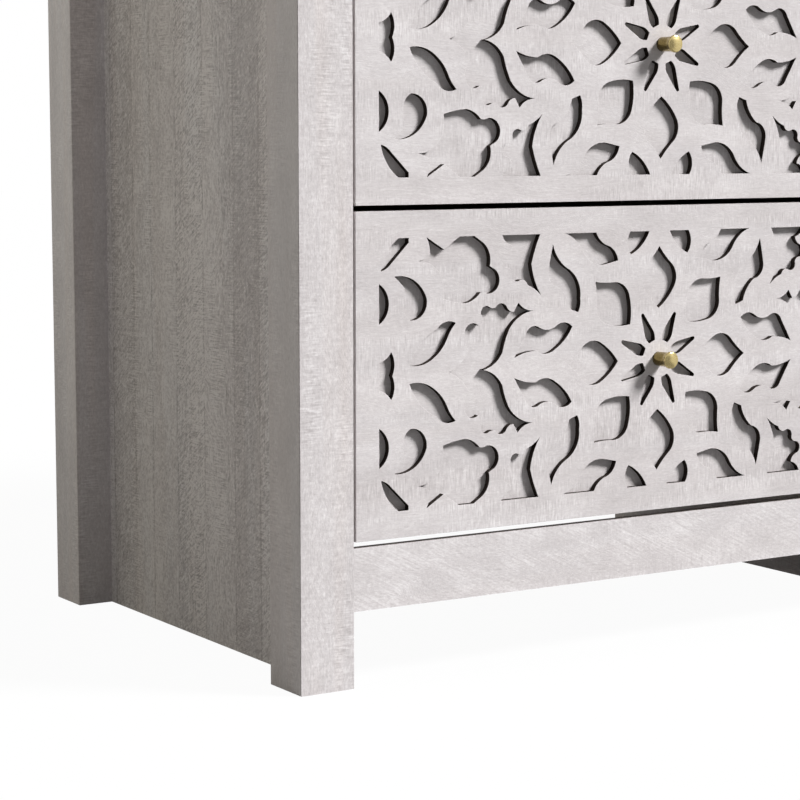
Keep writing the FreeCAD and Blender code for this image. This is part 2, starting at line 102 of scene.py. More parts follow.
class DresserOak(bpy.types.PropertyGroup):
    """Sawn oak of the carcass and the drawer fronts."""
    pale: colour("Pale", "Lightest tone of the oak", 240, 236, 236)
    middle: colour("Middle", "Mean tone of the oak", 215, 209.5, 209.5)
    dark: colour("Dark", "Darkest tone of the oak", 165, 158, 157.5)
    blush: colour("Blush", "Tint of the warmer stripes", 255, 250, 246)
    # Painted shade: the rail's upper edge under the drawers is coloured dark, as if it lay in the drawers'
    # shadow
    rail_shade_tint: colour("Shadowed edge", "Unfinished upper edge under the drawers", 84, 76, 72)
    # A dark colour of its own for the walls of the pierced openings
    cut_edge: colour("Cut edge", "Darkened edge of the pierced openings", 62, 54, 50)
    sheen: share("Sheen", "Specular level of the finished face", 0.25)
    relief: length("Relief", "Depth of the sawn texture", 0.25)
    wall_sheen: share("Wall sheen", "Specular level of the scorched edge", 0.1)
    wall_relief: length("Wall relief", "Depth of the scorched edge's texture", 0.08)


class DresserBoards(bpy.types.PropertyGroup):
    """Plain boards inside and behind the dresser."""
    box_board: colour("Box board", "Foil on the drawer boxes", 201, 195, 188)
    hardboard: colour("Hardboard", "Back boards and drawer bottoms", 158, 134, 109)
    pine: colour("Pine", "Runner cleats", 205, 171, 122)
    beech: colour("Beech", "Dowels", 201, 165, 124)
    sheen: share("Sheen", "Specular level of the plain boards", 0.25)
    relief: length("Relief", "Depth of the plain boards' texture", 0.06)


class DresserMetal(bpy.types.PropertyGroup):
    """Knobs, slides and screws."""
    brass: colour("Brass", "Brushed knobs", 206, 187, 133)
    # Painted shade: the stems are darkened for the dark reflections that they show
    stem_shade: colour("Shading", "Darker brass of the stems", 138, 122, 76)
    brass_roughness: share("Brass roughness", "Roughness of the brushed knobs", 0.25)
    turning_depth: length("Turning depth", "Depth of the knobs' turning marks", 0.01)
    zinc: colour("Zinc", "Plated slides and screws", 196, 198, 200)
    zinc_roughness: share("Zinc roughness", "Roughness of the plated steel", 0.32)
    zinc_depth: length("Zinc depth", "Depth of the drawing lines in the plate", 0.02)


class DresserSizes(bpy.types.PropertyGroup):
    """Small sizes of the modelled pieces."""
    fret_ease: length("Fretwork ease", "Rounding of the fretwork's front edges", 0.12)
    leg_ease: length("Leg ease", "Rounding of the legs' outer corners", 0.4)
    knob_base: length("Knob base", "Stem diameter at the drawer front", 10.4)
    knob_neck: length("Knob neck", "Stem diameter where it flares into the head", 10.8)
    knob_stem: length("Knob stem", "Base to the start of the flare", 11.6)
    knob_flare: length("Knob flare", "Length of the flare", 2.8)
    knob_edge: length("Knob edge", "Rounding at the rim of the end face", 1.3)
    knob_dome: length("Knob dome", "Rise of the end face past its rim", 0.8)
    slide_wall: length("Slide wall", "Sheet thickness of the slides", 1.2)
    slide_end: length("Slide end", "End of a slide to its first screw", 35)
    head_d: length("Screw head", "Diameter of the slides' screw heads", 6.2)
    head_h: length("Head height", "Height of the slides' screw heads", 1.6)
    knob_steps: IntProperty(name="Knob steps", description="Facets round the knob", default=96)


class DresserStage(bpy.types.PropertyGroup):
    """Camera, lamps and floor."""
    eye: FloatVectorProperty(name="Eye", description="Place of the camera", subtype="TRANSLATION",
                             unit="LENGTH", default=(-1.34094, -1.50577, 0.37762))
    tilt: FloatProperty(name="Tilt", description="Camera below the horizon", subtype="ANGLE",
                        default=math.radians(6.62))
    heading: FloatProperty(name="Heading", description="Camera turn from the front view",
                           subtype="ANGLE", default=math.radians(-32.373))
    lens: FloatProperty(name="Lens", description="Focal length on a 36 mm sensor",
                        subtype="DISTANCE_CAMERA", default=103.055)
    key_from: FloatVectorProperty(name="Key from", description="Direction towards the key lamp",
                                  subtype="DIRECTION", default=(5.4, -4.5, 5.69))
    key_angle: FloatProperty(name="Key size", description="Angle that the key lamp covers",
                             subtype="ANGLE", default=math.radians(15))
    key: FloatProperty(name="Key", description="Strength of the key lamp", min=0.0, default=5.03)
    fill_place: FloatVectorProperty(name="Fill place", description="Middle of the fill panel",
                                    subtype="TRANSLATION", unit="LENGTH", default=(-2.1, 1.35, 1.6))
    fill_size: FloatVectorProperty(name="Fill size", description="Width and height of the fill panel",
                                   size=2, unit="LENGTH", default=(3.0, 2.0))
    fill: FloatProperty(name="Fill", description="Brightness of the fill panel", min=0.0, default=0.62)
    warmth: colour("Warmth", "Tint of the soft light", 255, 246, 214)
    back_from: FloatVectorProperty(name="Back from", description="Direction towards the back lamp",
                                   subtype="DIRECTION", default=(-0.03, 1.0, 0.15))
    back_angle: FloatProperty(name="Back size", description="Angle that the back lamp covers",
                              subtype="ANGLE", default=math.radians(30))
    back: FloatProperty(name="Back", description="Strength of the back lamp", min=0.0, default=1.4)
    card_low: FloatVectorProperty(name="Card from", subtype="TRANSLATION", unit="LENGTH",
                                  description="Left corner of the grey card, away from the dresser",
                                  default=(-2.4, -1.2, 0.003))
    card_high: FloatVectorProperty(name="Card to", subtype="TRANSLATION", unit="LENGTH",
                                   description="Right corner, close to the dresser, and the card's top",
                                   default=(0.15, -0.26, 1.0))
    card: share("Card", "Brightness of the grey card", 0.4)
    ambient: share("Ambient", "Strength of the light from all round", 0.15)
    floor_bounce: share("Floor bounce", "Share of the light that the floor sends back", 0.22)
    floor_shadow: share("Floor shadow", "Share of the seen floor that takes the shadow", 0.04)
    floor_grey: share("Floor grey", "Tone of the floor where it takes the shadow", 0.8)
    floor_size: length("Floor size", "Half the width of the floor", 12000)


# Node helpers

def add(tree, kind, inputs=None, **settings):
    """A node of that kind; an input is a plain value or another node's output."""
    made = tree.nodes.new(kind)
    for name, value in settings.items():
        setattr(made, name, value)
    for name, value in (inputs or {}).items():
        if isinstance(value, bpy.types.NodeSocket):
            tree.links.new(value, made.inputs[name])
        else:
            made.inputs[name].default_value = value
    return made


def math_node(tree, operation, *values):
    """The result of a math node on sockets or numbers."""
    return add(tree, "ShaderNodeMath", dict(enumerate(values)), operation=operation).outputs[0]


def spread(tree, value, low, high, to_low=0.0, to_high=1.0):
    """Value brought from the range low to high into another, clamped at its ends."""
    limits = {"Value": value, "From Min": low, "From Max": high, "To Min": to_low, "To Max": to_high}
    return add(tree, "ShaderNodeMapRange", limits).outputs["Result"]


# Places of the colours among the Mix node's inputs, and of the mixed colour among its outputs
MIX_FIRST, MIX_SECOND, MIX_RESULT = 6, 7, 2


def blend_colours(tree, factor, first, second, mode="MIX"):
    """Two colours mixed by a factor."""
    made = add(tree, "ShaderNodeMix", {"Factor": factor}, data_type="RGBA", blend_type=mode)
    for index, value in ((MIX_FIRST, first), (MIX_SECOND, second)):
        if isinstance(value, bpy.types.NodeSocket):
            tree.links.new(value, made.inputs[index])
        else:
            made.inputs[index].default_value = (*value, 1.0)
    return made.outputs[MIX_RESULT]


def figure(tree, vector, size, detail=2.0, roughness=0.5, turn=(0.0, 0.0, 0.0)):
    """Noise whose features are size = (along the grain, across it) millimetres large."""
    along, across = (value * MM for value in size)
    placed = add(tree, "ShaderNodeMapping",
                 {"Vector": vector, "Rotation": turn, "Scale": (along, across, across)},
                 vector_type="TEXTURE")
    made = {"Vector": placed.outputs["Vector"], "Scale": 1.0, "Detail": detail, "Roughness": roughness}
    return add(tree, "ShaderNodeTexNoise", made).outputs["Fac"]


def centred(tree, layer):
    """How far a layer departs from its middle."""
    return math_node(tree, "SUBTRACT", layer, 0.5)


def weigh(tree, start, *layers):
    """start plus each layer's departure from its middle, times its weight."""
    total = start
    for layer, weight in layers:
        total = math_node(tree, "MULTIPLY_ADD", centred(tree, layer), weight, total)
    return total


def scaled(tint, factor):
    """A colour made darker or paler."""
    return tuple(min(1.0, value * factor) for value in tint)


def new_material(name):
    """An empty node material with its Principled shader."""
    material = bpy.data.materials.new(name)
    material.use_nodes = True
    return material, material.node_tree, material.node_tree.nodes["Principled BSDF"]


SEED_STEP = Vector((1.37, 2.11, 0.73))   # from one board's part of the pattern to the next one's
AS_DRAWN = (1.0, 1.0)                    # a pattern that isn't stretched


def board_vector(tree, grain, seed, stretch=AS_DRAWN):
    """Object coordinates turned to the board's grain and moved to a part of the pattern of its own.

    The stretch is that of the pattern along and across the grain.
    """
    along, across = stretch
    coords = add(tree, "ShaderNodeTexCoord")
    placed = add(tree, "ShaderNodeMapping",
                 {"Vector": coords.outputs["Object"], "Location": SEED_STEP * seed,
                  "Rotation": GRAIN[grain], "Scale": (along, across, across)},
                 vector_type="TEXTURE")
    return placed.outputs["Vector"]


def relief(tree, shader, height, depth):
    """Bump from a height pattern."""
    bump = add(tree, "ShaderNodeBump", {"Height": height, "Distance": depth, "Strength": 1.0})
    tree.links.new(bump.outputs["Normal"], shader.inputs["Normal"])


# Materials

OAK_WEIGHTS = ("Tone", "Blush", "Bands", "Clouds", "Streaks", "Fibres", "Grit", "Flecks", "Lines",
               "Sawing", "Raking", "Slanting", "Planks")
WAVE = 60 * MM                          # how far the grain strays sideways
PLANK = 26 * MM                         # mean width of the planks in one board's print
PLANK_START = 140 * MM                  # where the row of planks starts
SEAM = 1.0 * MM                         # half the width of the line between two planks
RAKE = (0.0, math.radians(-63), 0.0)    # turn of the raking saw marks, on a board that faces forwards
SLANT = (0.0, 0.0, math.radians(56))    # turn of the slanting ones, on a board that faces sideways
COMBED = 1.2                            # strength of the fibres where the saw left no patch
ROUGHNESS = (0.55, 0.72)                # of the oak, at its smoothest and its roughest

# Shares of the saw marks, the fibres and the grit in the relief
MARK_HEIGHT, FIBRE_HEIGHT, GRIT_HEIGHT = 0.3, 0.5, 0.25


def oak_sockets(group):
    """Make the group's inputs and outputs, and return what its inputs give."""
    face = group.interface
    face.new_socket("Vector", in_out="INPUT", socket_type="NodeSocketVector")
    for name in OAK_WEIGHTS:
        face.new_socket(name, in_out="INPUT", socket_type="NodeSocketFloat")
    face.new_socket("Color", in_out="OUTPUT", socket_type="NodeSocketColor")
    for name in ("Roughness", "Height"):
        face.new_socket(name, in_out="OUTPUT", socket_type="NodeSocketFloat")
    return add(group, "NodeGroupInput").outputs


def wavy_grain(group, vector):
    """The vector moved sideways here and there, so that the grain strays."""
    stray = weigh(group, 0.0, (figure(group, vector, (110, 45), detail=1.0), WAVE))
    aside = add(group, "ShaderNodeCombineXYZ", {"Y": stray, "Z": stray}).outputs["Vector"]
    return add(group, "ShaderNodeVectorMath", {0: vector, 1: aside}, operation="ADD").outputs["Vector"]


def printed_planks(group, vector, clouds):
    """The planks' shades with broken seams between them, their shares of slanting marks, their wear."""
    across = add(group, "ShaderNodeSeparateXYZ", {"Vector": vector}).outputs["Y"]
    row = {"W": math_node(group, "ADD", across, PLANK_START), "Scale": 1 / PLANK}
    drawn = add(group, "ShaderNodeTexVoronoi", row, voronoi_dimensions="1D").outputs["Color"]
    shade, saw, wear = add(group, "ShaderNodeSeparateColor", {"Color": drawn}).outputs
    edge = add(group, "ShaderNodeTexVoronoi", row, voronoi_dimensions="1D", feature="DISTANCE_TO_EDGE")
    seam = spread(group, edge.outputs["Distance"], 0.0, SEAM / PLANK, 1.0, 0.0)
    seam = math_node(group, "MULTIPLY", seam, spread(group, clouds, 0.4, 0.6))
    slants = spread(group, saw, 0.45, 0.55, 0.15, 1.0)
    return math_node(group, "SUBTRACT", shade, seam), slants, wear


def saw_marks(group, given, patches, clouds, slants):
    """Straight saw marks in patches, raking ones among the clouds and slanting ones on some planks."""
    vector = given["Vector"]
    sawing = figure(group, vector, (1.2, 9), detail=1.5, roughness=0.6)
    raking = figure(group, vector, (1.6, 18), detail=2.0, roughness=0.6, turn=RAKE)
    slanting = figure(group, vector, (1.2, 8), detail=2.0, roughness=0.6, turn=SLANT)
    rakes = spread(group, clouds, 0.35, 0.6, 0.2, 1.0)
    marks = 0.0
    for layer, mask, weight in ((sawing, patches, "Sawing"), (raking, rakes, "Raking"),
                                (slanting, slants, "Slanting")):
        masked = math_node(group, "MULTIPLY", centred(group, layer), mask)
        marks = math_node(group, "MULTIPLY_ADD", masked, given[weight], marks)
    return marks


def sawn_oak_pattern(oak):
    """Node group: sawn oak with its grain along X, in metres, weighted for one kind of board."""
    group = bpy.data.node_groups.new("sawn_oak_pattern", "ShaderNodeTree")
    given = oak_sockets(group)
    vector = given["Vector"]
    wavy = wavy_grain(group, vector)
    bands = figure(group, vector, (1100, 38), detail=1.5)
    clouds = figure(group, vector, (42, 20), detail=2.0)
    streaks = figure(group, wavy, (110, 4), detail=3.0, roughness=0.6)
    fibres = figure(group, wavy, (18, 1.1), detail=3.0, roughness=0.65)
    grit = figure(group, vector, (3.2, 1.8), detail=3.0, roughness=0.75)
    flecks = spread(group, figure(group, vector, (5, 1.2), detail=1.0), 0.62, 0.72)
    lines = spread(group, figure(group, wavy, (80, 1.0), detail=1.0), 0.64, 0.74)
    patches = spread(group, figure(group, vector, (130, 20), detail=3.0, roughness=0.6), 0.48, 0.60)
    stripes = spread(group, figure(group, vector, (500, 22), detail=1.0), 0.46, 0.58)
    shade, slants, wear = printed_planks(group, vector, clouds)
    vigour = weigh(group, 1.0, (wear, given["Planks"]))
    marks = math_node(group, "MULTIPLY", saw_marks(group, given, patches, clouds, slants), vigour)
    smooth = math_node(group, "SUBTRACT", COMBED, patches)
    combed = math_node(group, "MULTIPLY", centred(group, fibres), smooth)
    combed = math_node(group, "MULTIPLY", combed, vigour)

    tone = weigh(group, math_node(group, "ADD", given["Tone"], marks), (bands, given["Bands"]),
                 (clouds, given["Clouds"]), (streaks, given["Streaks"]), (grit, given["Grit"]),
                 (shade, given["Planks"]))
    for layer, weight in ((combed, "Fibres"), (flecks, "Flecks"), (lines, "Lines")):
        tone = math_node(group, "MULTIPLY_ADD", layer, given[weight], tone)
    lower = blend_colours(group, spread(group, tone, -0.5, 0.5), oak.dark, oak.middle)
    upper = blend_colours(group, spread(group, tone, 0.5, 1.0), lower, oak.pale)
    warm = math_node(group, "MULTIPLY", stripes, given["Blush"])
    tinted = blend_colours(group, warm, upper, oak.blush, "MULTIPLY")
    height = math_node(group, "MULTIPLY", combed, FIBRE_HEIGHT)
    height = math_node(group, "MULTIPLY_ADD", marks, MARK_HEIGHT, height)
    height = math_node(group, "MULTIPLY_ADD", grit, GRIT_HEIGHT, height)
    rough = spread(group, math_node(group, "ADD", grit, marks), 0.3, 0.8, *ROUGHNESS)
    add(group, "NodeGroupOutput", {"Color": tinted, "Roughness": rough, "Height": height})
    return group


# How much of each layer one kind of board shows; a layer that has no weight is left out
FACE_FIGURE = {"Tone": 0.49, "Blush": 0.1, "Bands": 0.3, "Clouds": 0.65, "Streaks": 0.25, "Fibres": 0.4,
               "Grit": 0.7, "Flecks": 0.15, "Lines": -0.05, "Sawing": 1.3}
LEG_FIGURE = {"Tone": 0.43, "Blush": 0.45, "Bands": 0.7, "Clouds": 0.5, "Streaks": 0.2, "Fibres": 0.4,
              "Grit": 1.3, "Flecks": 0.15, "Lines": -0.05, "Sawing": 1.4, "Slanting": 0.5}
RAIL_FIGURE = {"Tone": 0.58, "Blush": 0.1, "Bands": 0.4, "Clouds": 0.7, "Streaks": 0.2, "Fibres": 0.3,
               "Grit": 1.1, "Flecks": 0.15, "Lines": -0.05, "Sawing": 0.5, "Raking": 0.95}
# The top's lower tone is painted shade: it offsets the key lamp, which falls more steeply on the top than
# on the fronts
SHADE_PAINTED_TOP_FIGURE = {"Tone": 0.2, "Blush": 0.1, "Bands": 0.7, "Clouds": 0.3, "Streaks": 0.9, "Fibres": 0.6,
              "Grit": 0.7, "Flecks": 0.1, "Lines": -0.1, "Sawing": 0.8}
PANEL_FIGURES = {
    "left": {"Tone": 0.45, "Blush": 0.25, "Bands": 1.2, "Clouds": 0.5, "Streaks": 0.9, "Fibres": 2.0,
             "Grit": 2.4, "Flecks": 0.6, "Lines": 0.4, "Sawing": 2.8, "Slanting": 2.3, "Planks": 0.7},
    # The right panel's lower tone and calmer marks are painted shade: the key lamp lights that side and not
    # the left, and both panels carry one print
    "right": {"Tone": 0.2, "Blush": 0.25, "Bands": 0.9, "Clouds": 0.4, "Streaks": 0.6, "Fibres": 1.3,
              "Grit": 1.4, "Flecks": 0.4, "Lines": 0.3, "Sawing": 1.8, "Slanting": 1.3, "Planks": 0.4},
}
PANEL_STRETCH = (0.7, 1.5)   # of the pattern on the side panels, along and across the grain


def oak_material(name, grain, seed, weights, stretch=AS_DRAWN):
    """Sawn oak for one board or one set of boards."""
    oak = bpy.context.scene.dresser_oak
    pattern = bpy.data.node_groups.get("sawn_oak_pattern") or sawn_oak_pattern(oak)
    material, tree, shader = new_material(name)
    board = add(tree, "ShaderNodeGroup")
    board.node_tree = pattern
    tree.links.new(board_vector(tree, grain, seed, stretch), board.inputs["Vector"])
    for layer in OAK_WEIGHTS:
        board.inputs[layer].default_value = weights.get(layer, 0.0)
    tree.links.new(board.outputs["Color"], shader.inputs["Base Color"])
    tree.links.new(board.outputs["Roughness"], shader.inputs["Roughness"])
    shader.inputs["Specular IOR Level"].default_value = oak.sheen
    relief(tree, shader, board.outputs["Height"], oak.relief)
    return material


UNEVEN = 0.08   # how far a plain board's roughness departs from its mean


def plain_wood(name, tint, grain, seed, contrast, size, roughness):
    """A plain board: its tone drawn out along the grain."""
    boards = bpy.context.scene.dresser_boards
    material, tree, shader = new_material(name)
    vector = board_vector(tree, grain, seed)
    streaks = figure(tree, vector, size, detail=3.0, roughness=0.6)
    specks = figure(tree, vector, (2.0, 0.8), detail=2.0)
    mottle = figure(tree, vector, (160, 70), detail=3.0)
    tone = weigh(tree, 0.5, (streaks, 1.6), (specks, 0.8), (mottle, 1.2))
    blended = blend_colours(tree, spread(tree, tone, 0.0, 1.0), scaled(tint, 1 - contrast),
                            scaled(tint, 1 + contrast))
    tree.links.new(blended, shader.inputs["Base Color"])
    rough = spread(tree, specks, 0.3, 0.7, roughness - UNEVEN, roughness + UNEVEN)
    tree.links.new(rough, shader.inputs["Roughness"])
    shader.inputs["Specular IOR Level"].default_value = boards.sheen
    relief(tree, shader, tone, boards.relief)
    return material


def opening_walls():
    """The dark walls of the pierced openings."""
    oak = bpy.context.scene.dresser_oak
    material, tree, shader = new_material("opening_walls")
    vector = board_vector(tree, "Y", 0)
    ripple = figure(tree, vector, (4.0, 0.5), detail=2.0)
    darker_wall = scaled(oak.cut_edge, 0.6)
    wall_colour = blend_colours(tree, spread(tree, ripple, 0.35, 0.65), darker_wall, oak.cut_edge)
    tree.links.new(wall_colour, shader.inputs["Base Color"])
    tree.links.new(spread(tree, ripple, 0.3, 0.7, 0.75, 0.95), shader.inputs["Roughness"])
    shader.inputs["Specular IOR Level"].default_value = oak.wall_sheen
    relief(tree, shader, ripple, oak.wall_relief)
    return material


# Along the knob's profile: where the dark stem, painted shade for its dark reflections, turns into the
# polished head, and turning marks to the metre
STEM_SHADE = (15 * MM, 19 * MM)
TURNING = 6000.0


def brushed_brass():
    """Turned and brushed brass; the turning marks follow the knob's profile, and the stems carry painted
    shade for their dark reflections.
    """
    metal = bpy.context.scene.dresser_metal
    material, tree, shader = new_material("brushed_brass")
    turning = add(tree, "ShaderNodeAttribute", attribute_name="turning")
    made = {"W": turning.outputs["Fac"], "Scale": TURNING, "Detail": 3.0}
    rings = add(tree, "ShaderNodeTexNoise", made, noise_dimensions="1D").outputs["Fac"]
    coords = add(tree, "ShaderNodeTexCoord")
    cloud = figure(tree, coords.outputs["Object"], (3.0, 3.0), detail=2.0)
    dull = scaled(metal.brass, 0.86)
    polished = blend_colours(tree, spread(tree, cloud, 0.3, 0.7), dull, metal.brass)
    # Painted shade on the stem, fading out where the stem flares into the head
    neck = spread(tree, turning.outputs["Fac"], *STEM_SHADE)
    tree.links.new(blend_colours(tree, neck, metal.stem_shade, polished), shader.inputs["Base Color"])
    rough = weigh(tree, metal.brass_roughness, (rings, 0.25), (cloud, 0.1))
    tree.links.new(rough, shader.inputs["Roughness"])
    shader.inputs["Metallic"].default_value = 1.0
    relief(tree, shader, rings, metal.turning_depth)
    return material


def zinc_steel():
    """Bright zinc plate with a faint spangle and drawing lines."""
    metal = bpy.context.scene.dresser_metal
    material, tree, shader = new_material("zinc_steel")
    coords = add(tree, "ShaderNodeTexCoord").outputs["Object"]
    spangle = figure(tree, coords, (5.0, 5.0), detail=2.0)
    drawn = figure(tree, board_vector(tree, "Y", 1), (60.0, 0.5), detail=2.0)
    tone = weigh(tree, 0.5, (spangle, 1.4), (drawn, 0.8))
    plate = blend_colours(tree, spread(tree, tone, 0.0, 1.0), scaled(metal.zinc, 0.8), metal.zinc)
    tree.links.new(plate, shader.inputs["Base Color"])
    rough = weigh(tree, metal.zinc_roughness, (drawn, 0.25), (spangle, 0.15))
    tree.links.new(rough, shader.inputs["Roughness"])
    shader.inputs["Metallic"].default_value = 1.0
    relief(tree, shader, drawn, metal.zinc_depth)
    return material


# Mesh helpers

def merged_copy(node):
    """A bmesh of a CAD node with its loose triangles joined."""
    bm = bmesh.new()
    bm.from_mesh(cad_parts[node].data)
    bmesh.ops.remove_doubles(bm, verts=bm.verts, dist=MERGE)
    return bm


def finished_mesh(name, bm):
    """The bmesh as a mesh of that name."""
    mesh = bpy.data.meshes.new(name)
    bm.to_mesh(mesh)
    bm.free()
    return mesh


def new_object(name, bm, *materials):
    """An object of that mesh, in the scene."""
    made = bpy.data.objects.new(name, finished_mesh(name, bm))
    for material in materials:
        made.data.materials.append(material)
    bpy.context.scene.collection.objects.link(made)
    return made


def make_piece(name, bm, body, slot, *materials):
    """The finished piece: its mesh in the frame, its materials and its body; the slot is not used."""
    piece = new_object(name, bm, *materials)
    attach(piece, body)
    return piece


def dress(node, material):
    """A CAD node whose shape is right takes this material."""
    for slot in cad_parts[node].material_slots:
        slot.material = material


def finish_of(node):
    """The material that a CAD node wears."""
    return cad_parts[node].material_slots[0].material


def middle_of(node):
    """Middle of a CAD node's box."""
    low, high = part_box(node)
    return (low + high) / 2


# Pieces

class DRESSER_OT_carcass_boards(bpy.types.Operator):
    """Give the legs, panels, rails, stile, top and partition their sawn oak"""
    bl_idname = "dresser.carcass_boards"
    bl_label = "Carcass boards"

    def execute(self, context):
        seed = 1
        for place in ("front", "rear"):
            for side in SIDES:
                leg = f"{place}_leg_{side}"
                dress(leg, oak_material(f"oak_{leg}", "Z", seed, LEG_FIGURE))
                self.eased_leg(leg, context.scene.dresser_sizes.leg_ease)
                seed += 1
        for side in SIDES:
            panel = f"side_panel_{side}"
            dress(panel, oak_material(f"oak_{panel}", "Z", seed, PANEL_FIGURES[side], PANEL_STRETCH))
            seed += 1
        for rail in ("bottom_front_rail", "top_front_rail", "rear_bottom_rail", "rear_top_rail"):
            dress(rail, oak_material(f"oak_{rail}", "X", seed, RAIL_FIGURE))
            seed += 1
        self.shade_painted_rail(context.scene.dresser_oak.rail_shade_tint)
        dress("center_stile", oak_material("oak_center_stile", "Z", seed, LEG_FIGURE))
        dress("center_partition", oak_material("oak_center_partition", "Z", seed + 1, FACE_FIGURE))
        dress("top_panel", oak_material("oak_top_panel", "X", seed + 2, SHADE_PAINTED_TOP_FIGURE))
        return {"FINISHED"}

    def eased_leg(self, leg, ease):
        """A leg with its two outer corners rounded from end to end."""
        low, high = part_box(leg)
        outer = max(low.x, high.x, key=abs)
        bm = merged_copy(leg)
        corners = [edge for edge in bm.edges
                   if all(abs(vert.co.x - outer) < MERGE for vert in edge.verts)
                   and abs(edge.verts[0].co.y - edge.verts[1].co.y) < MERGE
                   and edge.calc_face_angle(0.0) > SHARP]
        bmesh.ops.bevel(bm, geom=corners, offset=ease, offset_type="OFFSET", affect="EDGES", segments=3,
                        profile=0.5, material=-1, clamp_overlap=False, loop_slide=True)
        piece = make_piece(f"{leg}_eased", bm, CARCASS, "oak_carcass", finish_of(leg))
        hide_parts(leg)

    def shade_painted_rail(self, tint):
        """The bottom front rail, with painted shade on its upper edge under the drawers, where the drawers'
        shadow falls.
        """
        node = "bottom_front_rail"
        bm = merged_copy(node)
        # The faces that look up take the second material, the painted shade under the drawers
        for face in bm.faces:
            face.material_index = int(face.normal.z > FACING)
        painted_shade = plain_wood("painted_shade_rail_edge", tint, "X", seed=5, contrast=0.2, size=(40, 2), roughness=0.8)
        piece = make_piece(f"{node}_shade_painted", bm, CARCASS, "oak_carcass", finish_of(node), painted_shade)
        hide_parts(node)


class DRESSER_OT_back_and_joinery(bpy.types.Operator):
    """Give the back boards, cleats and dowels their materials"""
    bl_idname = "dresser.back_and_joinery"
    bl_label = "Back and joinery"

    def execute(self, context):
        boards = context.scene.dresser_boards
        for index, side in enumerate(SIDES):
            back = plain_wood(f"hardboard_back_{side}", boards.hardboard, "Z", seed=index,
                              contrast=0.18, size=(4, 2), roughness=0.7)
            dress(f"back_panel_{side}", back)
        cleats = plain_wood("pine_cleats", boards.pine, "Y", seed=3, contrast=0.22, size=(150, 4),
                            roughness=0.6)
        dress("runner_cleats", cleats)
        dowels = plain_wood("beech_dowels", boards.beech, "X", seed=4, contrast=0.15, size=(20, 1),
                            roughness=0.6)
        dress("assembly_dowels", dowels)
        return {"FINISHED"}


class DRESSER_OT_drawer_fronts(bpy.types.Operator):
    """Make the pierced overlays with eased edges and dark walls, over the oak front boards"""
    bl_idname = "dresser.drawer_fronts"
    bl_label = "Drawer fronts"

    def execute(self, context):
        darkened = opening_walls()
        first_seed = 20
        for seed, drawer in enumerate(DRAWERS, first_seed):
            oak = oak_material(f"oak_{drawer}", "X", seed, FACE_FIGURE)
            dress(f"{drawer}_front", oak)
            self.overlay(drawer, oak, darkened, context.scene.dresser_sizes.fret_ease)
        return {"FINISHED"}

    def overlay(self, drawer, oak, darkened, ease):
        """The pierced overlay, from its CAD shape."""
        node = f"{drawer}_fretwork"
        low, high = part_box(node)
        bm = merged_copy(node)
        rim = [edge for edge in bm.edges
               if all(abs(vert.co.y - low.y) < MERGE for vert in edge.verts)
               and edge.calc_face_angle(0.0) > SHARP]
        bmesh.ops.bevel(bm, geom=rim, offset=ease, offset_type="OFFSET", affect="EDGES", segments=2,
                        profile=0.5, material=-1, clamp_overlap=False, loop_slide=True)
        for face in bm.faces:
            middle = face.calc_center_median()
            inside = low.x + ease < middle.x < high.x - ease and low.z + ease < middle.z < high.z - ease
            wall = abs(face.normal.y) < FACING and middle.y > low.y + ease
            face.material_index = int(inside and wall)
        piece = make_piece(f"{node}_eased", bm, drawer, "oak_front", oak, darkened)
        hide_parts(node)


class DRESSER_OT_drawer_boxes(bpy.types.Operator):
    """Give the drawer boxes and their bottoms their boards"""
    bl_idname = "dresser.drawer_boxes"
    bl_label = "Drawer boxes"

    def execute(self, context):
        boards = context.scene.dresser_boards
        foil = plain_wood("foil_box_board", boards.box_board, "Y", seed=7, contrast=0.06, size=(90, 3),
                          roughness=0.5)
        bottom = plain_wood("hardboard_bottom", boards.hardboard, "X", seed=8, contrast=0.14, size=(4, 2),
                            roughness=0.65)
        for drawer in DRAWERS:
            dress(f"{drawer}_box", foil)
            dress(f"{drawer}_bottom", bottom)
        return {"FINISHED"}


